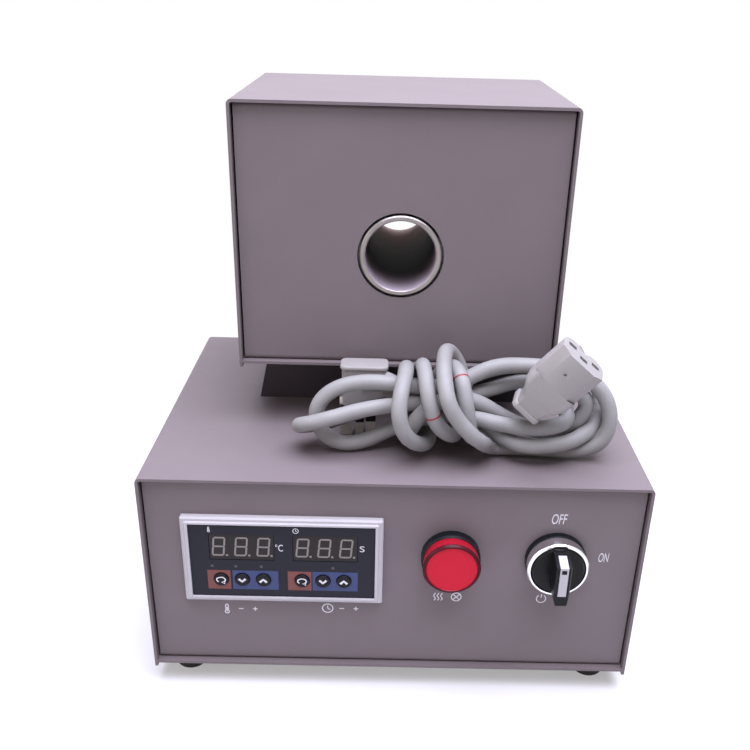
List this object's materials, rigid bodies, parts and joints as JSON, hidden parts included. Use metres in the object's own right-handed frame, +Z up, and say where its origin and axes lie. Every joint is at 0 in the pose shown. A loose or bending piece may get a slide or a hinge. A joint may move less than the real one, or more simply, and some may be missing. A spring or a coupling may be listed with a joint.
{
  "type": "dental tube furnace",
  "caption": "Bench-top electric tube furnace: open heating tube in an upper box on a controller box with a twin meter, lamp, rotary switch and hanked mains lead.",
  "frame": {"origin": "centre of the footprint, on the plane that the four rubber feet stand on", "axes": "+X to the right seen from the front, +Y from the front panel to the back, +Z up; the heating tube's axis runs along Y"},
  "size_m": [0.2444, 0.1994, 0.28],
  "materials": {
    "box_paint": "grey satin powder coat",
    "neck_paint": "grey satin powder coat",
    "black_rubber": "matte",
    "screw_steel": "zinc plated",
    "tube_steel": "fine turned",
    "zinc_sheet": "zinc plated sheet",
    "white_ceramic": "unglazed",
    "fibre_wrap": "ceramic fibre, felted",
    "sleeve": "woven glass sleeving",
    "black_plastic": "moulded, slightly grained",
    "bezel_plastic": "white moulded frame",
    "window_plastic": "dark overlay film",
    "display_face": "dark filter",
    "board": "printed board",
    "red_lens": "moulded translucent red",
    "chrome_ring": "polished",
    "knob_plastic": "moulded black",
    "white_inlay": "moulded white",
    "key_plastic": "printed rubber-like key",
    "brass_contact": "bright",
    "pin_metal": "bright plated",
    "cord_jacket": "smooth grey sheath",
    "lead_plastic": "moulded grey"
  },
  "bodies": {
    "housing": {"controller_cover": "box_paint", "controller_base_plate": "box_paint", "controller_front_panel": "box_paint", "controller_rear_panel": "box_paint", "furnace_cover": "box_paint", "furnace_base_plate": "box_paint", "furnace_front_panel": "box_paint", "furnace_rear_panel": "box_paint", "neck": "neck_paint", "rubber_feet": "black_rubber", "foot_screws": "screw_steel", "cover_screws": "screw_steel", "panel_screws": "screw_steel", "neck_screws": "screw_steel", "inlet_screws": "screw_steel", "heating_tube": "tube_steel", "ceramic_heater": "white_ceramic", "insulation_blanket": "fibre_wrap", "insulation_boards": "fibre_wrap", "tube_brackets": "zinc_sheet", "thermocouple": "tube_steel", "ceramic_terminal_block": "white_ceramic", "heater_tails": "tube_steel", "heater_loom": "sleeve", "grommets": "black_rubber", "solid_state_relay": "black_plastic", "terminal_strip": "black_plastic", "meter_bezel": "bezel_plastic", "meter_window": "window_plastic", "meter_case": "black_plastic", "temperature_display": "display_face", "time_display": "display_face", "meter_board": "board", "meter_clamps": "black_plastic", "lamp_base": "black_plastic", "lamp_lens": "red_lens", "lamp_board": "board", "ring_nuts": "black_plastic", "switch_base": "black_plastic", "switch_bezel": "chrome_ring", "contact_block": "black_plastic", "power_inlet": "black_plastic", "inlet_pins": "brass_contact", "fuse_holder": "black_plastic", "fuse_cap": "black_plastic", "mains_wires": "sleeve", "lead_hank": "cord_jacket", "lead_connector": "lead_plastic", "connector_contacts": "brass_contact", "lead_plug": "lead_plastic", "plug_pins": "pin_metal"},
    "selector": {"selector_knob": "knob_plastic", "knob_inlay": "white_inlay"},
    "plunger": {"contact_plunger": "white_inlay"},
    "meter_key_1": {"key_1": "key_plastic"},
    "meter_key_2": {"key_2": "key_plastic"},
    "meter_key_3": {"key_3": "key_plastic"},
    "meter_key_4": {"key_4": "key_plastic"},
    "meter_key_5": {"key_5": "key_plastic"},
    "meter_key_6": {"key_6": "key_plastic"}
  },
  "joints": [
    {"name": "selector_turn", "type": "hinge", "parent": "housing", "child": "selector", "pos_m": [0.0779, -0.07, 0.079], "axis": [0, 1, 0], "range_deg": [0, 90]},
    {"name": "plunger_slide", "type": "slide", "parent": "housing", "child": "plunger", "axis": [0, 1, 0], "range_m": [0, 0.003]},
    {"name": "key_1_press", "type": "slide", "parent": "housing", "child": "meter_key_1", "axis": [0, 1, 0], "range_m": [0, 0.0005], "stiffness_N_per_m": 800},
    {"name": "key_2_press", "type": "slide", "parent": "housing", "child": "meter_key_2", "axis": [0, 1, 0], "range_m": [0, 0.0005], "stiffness_N_per_m": 800},
    {"name": "key_3_press", "type": "slide", "parent": "housing", "child": "meter_key_3", "axis": [0, 1, 0], "range_m": [0, 0.0005], "stiffness_N_per_m": 800},
    {"name": "key_4_press", "type": "slide", "parent": "housing", "child": "meter_key_4", "axis": [0, 1, 0], "range_m": [0, 0.0005], "stiffness_N_per_m": 800},
    {"name": "key_5_press", "type": "slide", "parent": "housing", "child": "meter_key_5", "axis": [0, 1, 0], "range_m": [0, 0.0005], "stiffness_N_per_m": 800},
    {"name": "key_6_press", "type": "slide", "parent": "housing", "child": "meter_key_6", "axis": [0, 1, 0], "range_m": [0, 0.0005], "stiffness_N_per_m": 800}
  ],
  "couplings": [
    {"joint": "plunger_slide", "follows": "selector_turn", "m_per_rad": 0.0019}
  ]
}
